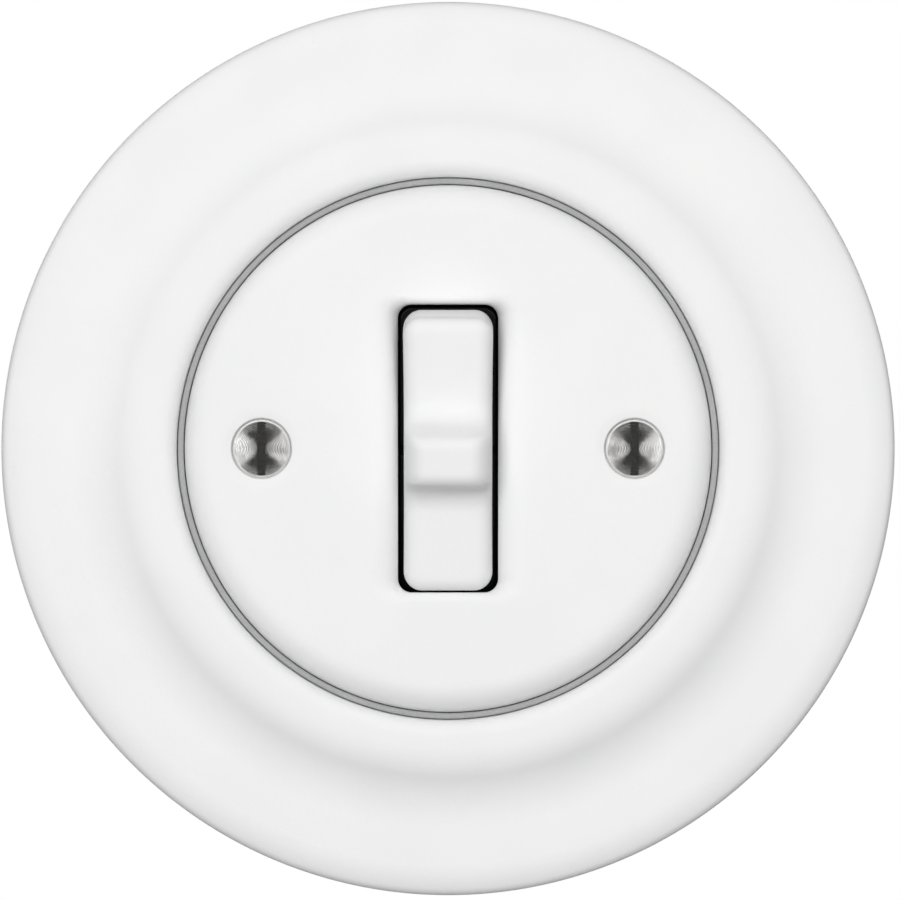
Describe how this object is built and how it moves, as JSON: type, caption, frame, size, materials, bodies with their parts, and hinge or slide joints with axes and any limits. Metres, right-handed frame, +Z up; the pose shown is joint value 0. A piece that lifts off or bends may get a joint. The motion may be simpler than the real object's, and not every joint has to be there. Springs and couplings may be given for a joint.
{
  "type": "rocker wall switch",
  "caption": "Round white porcelain wall switch: a tall centre rocker with a finger bar, in a round cover plate fixed by slotted screws, inside a deep moulded frame.",
  "frame": {"origin": "centre of the switch on the wall plane, on the support plate's back face", "axes": "+X right and +Z up as seen from the room, +Y into the wall"},
  "size_m": [0.1, 0.0388, 0.1],
  "materials": {
    "porcelain": "white porcelain, satin glaze",
    "silicone": "grey silicone, matte",
    "nylon": "natural nylon",
    "nickel_steel": "nickel-plated steel, turned",
    "bright_steel": "bright steel",
    "spring_steel": "drawn spring wire",
    "zinc_steel": "zinc-plated steel",
    "copper_alloy": "bronze strip",
    "silver": "silver contact face",
    "brass": "cut brass",
    "black_plastic": "black moulded plastic, fine matte",
    "grey_thermoset": "dark grey thermoset moulding"
  },
  "bodies": {
    "base": {"frame_ring": "porcelain", "cushion_ring": "silicone", "cover_plate": "porcelain", "screw_washers": "nylon", "cover_screws": "nickel_steel", "pivot_pin": "bright_steel", "fixed_contacts": "silver", "common_terminal": "brass", "line_terminal_1": "brass", "line_terminal_2": "brass", "common_clamp": "brass", "line_clamp_1": "brass", "line_clamp_2": "brass", "clamp_screws": "zinc_steel", "housing_base": "grey_thermoset", "housing_cover": "black_plastic", "support_plate": "zinc_steel", "housing_rivets": "bright_steel"},
    "rocker": {"rocker": "porcelain", "rocker_carrier": "black_plastic", "toggle_spring": "spring_steel"},
    "plunger": {"spring_plunger": "nylon"},
    "contact_lever": {"contact_rocker": "copper_alloy", "moving_contacts": "silver"}
  },
  "joints": [
    {"name": "rocker_swing", "type": "hinge", "parent": "base", "child": "rocker", "pos_m": [0, -0.0102, 0], "axis": [-1, 0, 0], "range_deg": [0, 18]},
    {"name": "plunger_push", "type": "slide", "parent": "rocker", "child": "plunger", "axis": [0, -0.9877, -0.1564], "range_m": [0, 0.0008], "stiffness_N_per_m": 900, "springref_m": -0.002, "deforming": ["toggle_spring"]},
    {"name": "lever_swing", "type": "hinge", "parent": "base", "child": "contact_lever", "pos_m": [0, 0.00786, 0], "axis": [-1, 0, 0], "range_deg": [-14, 0]}
  ],
  "couplings": [
    {"joint": "lever_swing", "follows": "rocker_swing", "ratio": -0.77778}
  ]
}
